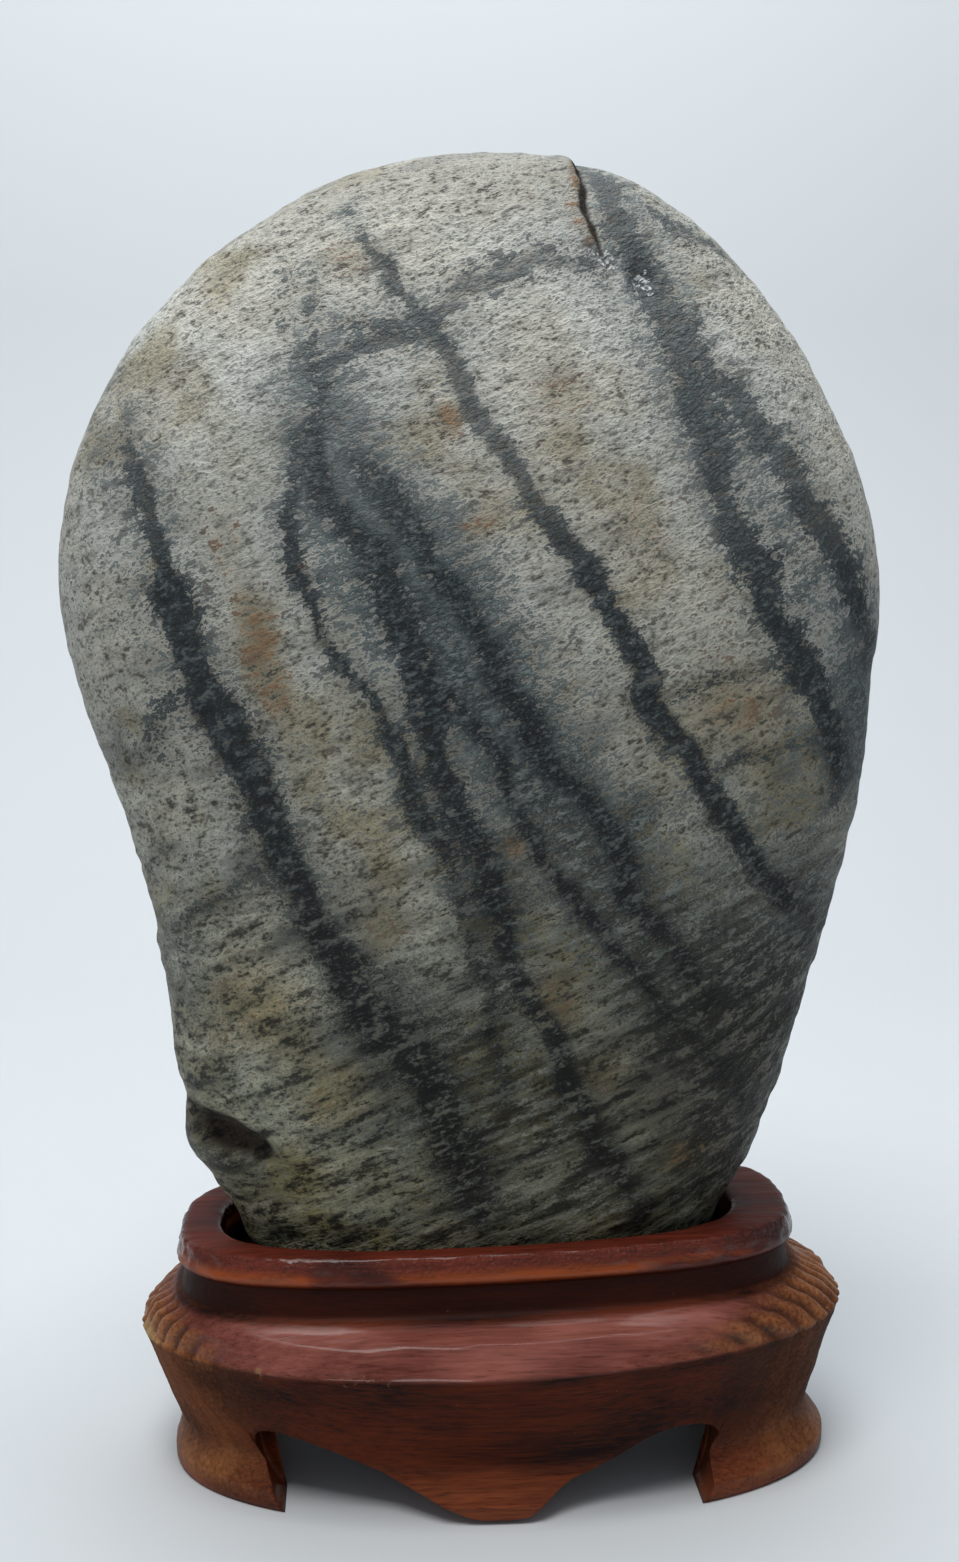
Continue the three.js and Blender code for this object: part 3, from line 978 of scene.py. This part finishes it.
# %% [markdown]
# ## Stone finish
# The rock is a fine gneiss: pale grains about a millimetre across with dark specks, drawn out lower
# down into flakes that climb to the right. Its colours are masks laid over one another. The veins
# have ragged edges, so their strength is shaken by the grains' own noise before it becomes a mask,
# and the grains multiply everything at the end, so they show through the veins too.

# %% Stone material
FLAKES = (0, FOLIATION, 0)  # the turn that lays a pattern along the flaky layers
GRAIN, SPECK, PLY, MOTTLE = 2.0, 0.75, 1.9, 5.5  # sizes of the stone's patterns in mm
STONE_RELIEF = 1.25  # mm


def grey(level):
    """A plain grey multiplier, which may pass 1 to brighten."""
    return (level, level, level * 0.985, 1.0)


def stone_finish(piece):
    """Colours laid over one another from the palest rock to the rust, then made gritty."""
    stone = Finish("river_stone")
    flakes = stone.stretched(FLAKES, (1.6, 1.3, 0.9))
    grain = stone.cloud(flakes, GRAIN, 4, 0.68)
    speck = stone.cloud(flakes, SPECK, 2, 0.7)
    mottle = stone.cloud(flakes, MOTTLE, 4, 0.62)
    ply = stone.cloud(stone.stretched(FLAKES, (6, 3, 1)), PLY, 3, 0.6)
    low, streak, ochre, milky, crown, umber = map(
        stone.attribute, ("low", "streak", "ochre", "milky", "crown", "umber"))
    vein, smoke, haze, rust, glassy, socket = map(
        stone.attribute, ("vein", "smoke", "haze", "rust", "glassy", "socket"))
    tone = (grain - 0.5) * 2.7 + (speck - 0.5) * 1.9 + (ply - 0.5) * (low * 2.6 + 0.6) + 0.5
    tone = tone.clipped()
    ragged = (grain - 0.5) * 2.3 + (speck - 0.5) * 1.7 + (ply - 0.5) * 1.0 + (mottle - 0.5) * 0.8
    deep = low.step(0.01, 0.16)
    hazy = (haze + ragged * 0.6).clipped()
    smoky_and_shaded = (smoke * 1.2 + ragged * 1.7).step(0.36, 0.76)
    veined = (vein * 1.1 + ragged * 0.85).step(0.27, 0.6)
    showing = ((tone - 0.4) * 1.3 + (speck - 0.5) * 1.4).clipped() * smoky_and_shaded * (0.8 - veined * 0.4)
    rusty = (rust + ragged * 1.1).step(0.3, 0.88) * (1 - veined * 0.7)
    # The foot colours are darker than the crown's: partly olive stone, partly painted shade.
    coats = (  # mask, its colour at the crown and at the foot
        (streak.step(0.4, 1.0) * (low * 0.2 + 0.6), "c6c4bb", "94937f"),
        (streak.step(0.5, 0.0) * (low * 0.25 + 0.6), "85837b", "2b2e27"),
        (ochre * (low * 0.28 + 0.6), "968a68", "6c6340"),
        (milky * (0.45 - low * 0.2), "d2d6d2", "8d958e"),
        (crown * 0.45, "85827a", "85827a"),
        (mottle.step(0.47, 0.33) * (low * 0.3 + 0.34), "77746b", "2e3029"),
        (hazy * 0.4, "868b8b", "454a46"),
        # dark mineral clouds, and painted shade on the lower right edge
        (smoky_and_shaded * (deep * 0.2 + 0.76), "3d494d", "171710"),
        (veined * (deep * 0.3 + 0.66), "1f2a30", "0d0f0d"),
        (showing * (low * 0.3 + 0.42), "939c9a", "75766a"),
        # painted shade on the lower right corner
        (umber * 0.5, "1d1810", "1d1810"),
        (rusty * 0.7, "7a5226", "523c1a"),
    )
    layers = [(mask, stone.shade(low, upper, lower)) for mask, upper, lower in coats]
    colour = stone.covered(stone.shade(low, "c3c0b5", "66634d"), layers)

    dark_grit = stone.mixed(low, grey(0.5), grey(0.17))
    pale_grit = stone.mixed(low, grey(1.4), grey(2.1))
    colour = stone.mixed(1.0, colour, stone.mixed(tone, dark_grit, pale_grit), "MULTIPLY")
    pit = (grain + (speck - 0.5) * 0.6).step(0.38, 0.27) * (1 - milky * 0.6)
    # White specks in the glassy hollows: partly white quartz, partly painted glints.
    quartz_and_glints = (glassy + (speck - 0.5) * 4.0 - 0.75).step(0.1, 0.5) * glassy.step(0.1, 0.4)
    # Darkened socket and crack: partly a dark stain, partly painted shade.
    stain_and_shade = socket.step(0.08, 0.6)
    colour = stone.covered(colour, [
        (pit * 0.4, paint("3a3731")),
        (glassy * 0.5, paint("454b4e")),
        (quartz_and_glints * 0.85, paint("e4e8e6")),
        (stain_and_shade * 0.94, stone.shade(tone, "0d0805", "2e2119")),
    ])
    glint = (speck + (grain - 0.5) * 0.4).step(0.64, 0.7)
    relief = grain + speck * 0.4 + ply * (low * 0.6 + 0.1) - pit * 0.25
    rough = 0.56 - glint * (smoky_and_shaded * 0.12 + 0.26) - glassy * 0.3 + stain_and_shade * 0.4
    stone.surface(
        piece, Base_Color=colour, Roughness=rough.clipped(), Specular_IOR_Level=0.27,
        Normal=stone.bump(relief, STONE_RELIEF),
    )


stone_finish(stone_piece)

# %% [markdown]
# ## Wood finish
# A dense red-brown hardwood, oiled, with lacquer left on the rim's bevel. Its fibres run from end to
# end, so the front and back show fine level streaks, and the ends are paler, drier and marked by
# growth rings. The patterns are in object space: a real block is grained all the way through.

# %% Wood material
FIBRES = (0, 0, 0)  # no turn: the fibres run level, from end to end
WOOD_RELIEF = 0.2  # mm


def wood_finish(piece):
    """Long fibres on the faces, speckled end grain on the ends, lacquer on the bevel, and painted
    shade on the set-back neck and the apron's right side.
    """
    wood = Finish("carved_hardwood")
    streak = wood.cloud(wood.stretched(FIBRES, (34, 1.1, 1)), 0.7, 3, 0.62)
    fine = wood.cloud(wood.stretched(FIBRES, (9, 0.7, 0.7)), 0.6, 2, 0.6)
    speckle = wood.cloud(wood.place, 0.9, 3, 0.65)
    lumps = wood.cloud(wood.place, 1.0, 2, 0.5)
    patch, end_grain, groove, carved, wear = map(
        wood.attribute, ("wood_patch", "end_grain", "groove", "carved", "wear"))
    level, shoulder, neck, bevel, lacquer = map(
        wood.attribute, ("level", "shoulder", "neck", "bevel", "lacquer"))
    tone = (streak - 0.5) * 1.4 + (fine - 0.5) * 0.9 + (patch - 0.5) * 0.9 + 0.5
    tone = tone.clipped()
    facet = ((streak - 0.5) * 1.1 + (fine - 0.5) * 0.5 + (patch - 0.5) * 1.0 + 0.5).clipped()
    end_tone = ((speckle - 0.5) * 1.8 + (patch - 0.5) * 0.8 + 0.5).clipped()
    low = level.step(13, 5)
    worn = (wear + (speckle - 0.5) * 1.5).step(0.25, 0.75)
    cut_across = wood.covered(wood.shade(end_tone, "40200e", "784628"), [
        ((carved + low * 0.8).clipped(), wood.shade(end_tone, "65351a", "ab7042")),
        (groove * (carved * 0.6 + 0.2), paint("26130a")),
    ])
    colour = wood.covered(wood.shade(tone, "190804", "5c250e"), [
        (shoulder, wood.shade(facet, "5c2a21", "96584c")),
        (low * 0.8, wood.shade(tone, "4c1e0e", "8c4826")),
        (level.step(46.5, 48), wood.shade(tone, "34140e", "6e2d1e")),
        # painted shade: the set-back neck under the bevel is darkened
        (neck * 0.75, paint("240b06")),
        (bevel * patch.step(0.65, 0.3) * 0.6, paint("21100f")),
        (bevel * level.step(50.6, 48.6) * patch.step(0.45, 0.66) * 0.8, paint("9a4718")),
        (end_grain * 0.92, cut_across),
        (worn * 0.75, paint("a58a5c")),
        (fine.step(0.4, 0.3) * 0.3, paint("120604")),
    ])
    rough = 0.56 + (streak - 0.5) * 0.3 + end_grain * 0.2 - lacquer * 0.3
    relief = streak * 0.4 + fine * 0.3 + speckle * (end_grain * 0.6 + 0.1) + lumps * lacquer * 4.5
    wood.surface(
        piece, Base_Color=colour, Roughness=rough.clipped(), Specular_IOR_Level=0.1,
        Coat_Weight=(bevel * 0.5 + shoulder * 0.3 + low * 0.22).clipped(), Coat_Roughness=0.15,
        Normal=wood.bump(relief, WOOD_RELIEF),
    )


wood_finish(stand_piece)

# %% [markdown]
# ## Standing in for the solids
# Each skin hides the plain CAD solid of the same piece and rides on the part's one body.

# %% Hand over
for piece, node, slot in ((stone_piece, "stone", "stone"), (stand_piece, "stand", "hardwood")):
    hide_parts(node)
    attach(piece, "root")

# %% [markdown]
# ## Studio
# The rock stands on a pale sweep: a floor that curves up into a back wall with no line between
# them. One large soft light hangs above and in front, to the left, like a high window. A second
# one washes the wall, and the world's even glow fills the shadows.

# %% Sweep
FLOOR_NEAR, WALL_AT, WALL_TOP, SWEEP_RADIUS, SWEEP_HALF_WIDTH = -6.0, 0.75, 4.0, 0.35, 6.0
FLOOR_AT = -0.0001  # a hair below the feet


def make_sweep():
    """Floor, quarter circle and wall as one strip: a profile in y and z carried along x."""
    turn = np.linspace(0, np.pi / 2, 17)
    bend_y = WALL_AT - SWEEP_RADIUS + SWEEP_RADIUS * np.sin(turn)
    bend_z = SWEEP_RADIUS - SWEEP_RADIUS * np.cos(turn)
    y = np.concatenate([[FLOOR_NEAR], bend_y, [WALL_AT]])
    z = np.concatenate([[0], bend_z, [WALL_TOP]]) + FLOOR_AT
    count = len(y)
    points = [(x, *yz) for x in (-SWEEP_HALF_WIDTH, SWEEP_HALF_WIDTH) for yz in zip(y, z)]
    faces = [(k, k + count, k + count + 1, k + 1) for k in range(count - 1)]
    sweep = make_mesh("sweep", points, faces)
    Finish("pale_sweep").surface(sweep, Base_Color=paint("d3d7da"), Roughness=0.9)


make_sweep()


# %% Lights
def soft_light(name, place, target, size, power, colour):
    """A square area light at a place, turned to face a target."""
    lamp = bpy.data.lights.new(name, "AREA")
    lamp.size = size
    lamp.energy = power
    lamp.color = colour
    aim = np.subtract(target, place)
    flat = math.hypot(aim[0], aim[1])
    holder = placed(name, lamp)
    holder.location = place
    holder.rotation_euler = (math.atan2(flat, -aim[2]), 0, math.atan2(-aim[0], aim[1]))


MIDDLE = (0, 0, float(CAD_BOX[1][2]) * 0.6)
soft_light("window", (-0.22, -0.46, 1.15), MIDDLE, 0.5, 7.0, (1.0, 0.99, 0.97))
soft_light("wall_wash", (0.0, 0.12, 1.25), (0, 0.75, 0.3), 0.8, 10.5, (0.95, 0.98, 1.0))

world = bpy.data.worlds.new("glow")
world.use_nodes = True
glow = world.node_tree.nodes["Background"]
glow.inputs["Color"].default_value = (0.86, 0.92, 1.0, 1)
glow.inputs["Strength"].default_value = 0.26
bpy.context.scene.world = world

# %% [markdown]
# ## Camera
# A normal lens, a few degrees round to the left, looking slightly down at the stand's top.

# %% Camera
TURNED_LEFT, LOOKS_DOWN = math.radians(4), math.radians(7)
DISTANCE, EYE_HEIGHT = 0.351, 0.187
LENS, SENSOR = 39.2, 36.0

lens = bpy.data.cameras.new("camera")
lens.lens = LENS
lens.sensor_width = SENSOR
lens.clip_start = 0.01
camera = placed("camera", lens)
camera.location = (
    -DISTANCE * math.sin(TURNED_LEFT), -DISTANCE * math.cos(TURNED_LEFT), EYE_HEIGHT
)
camera.rotation_euler = (math.pi / 2 - LOOKS_DOWN, 0, -TURNED_LEFT)
bpy.context.scene.camera = camera
bpy.context.scene.view_settings.view_transform = "Standard"

# %% Measure and finish
print("CAD box, mm: ", [[round(v * 1000, 1) for v in corner] for corner in CAD_BOX])
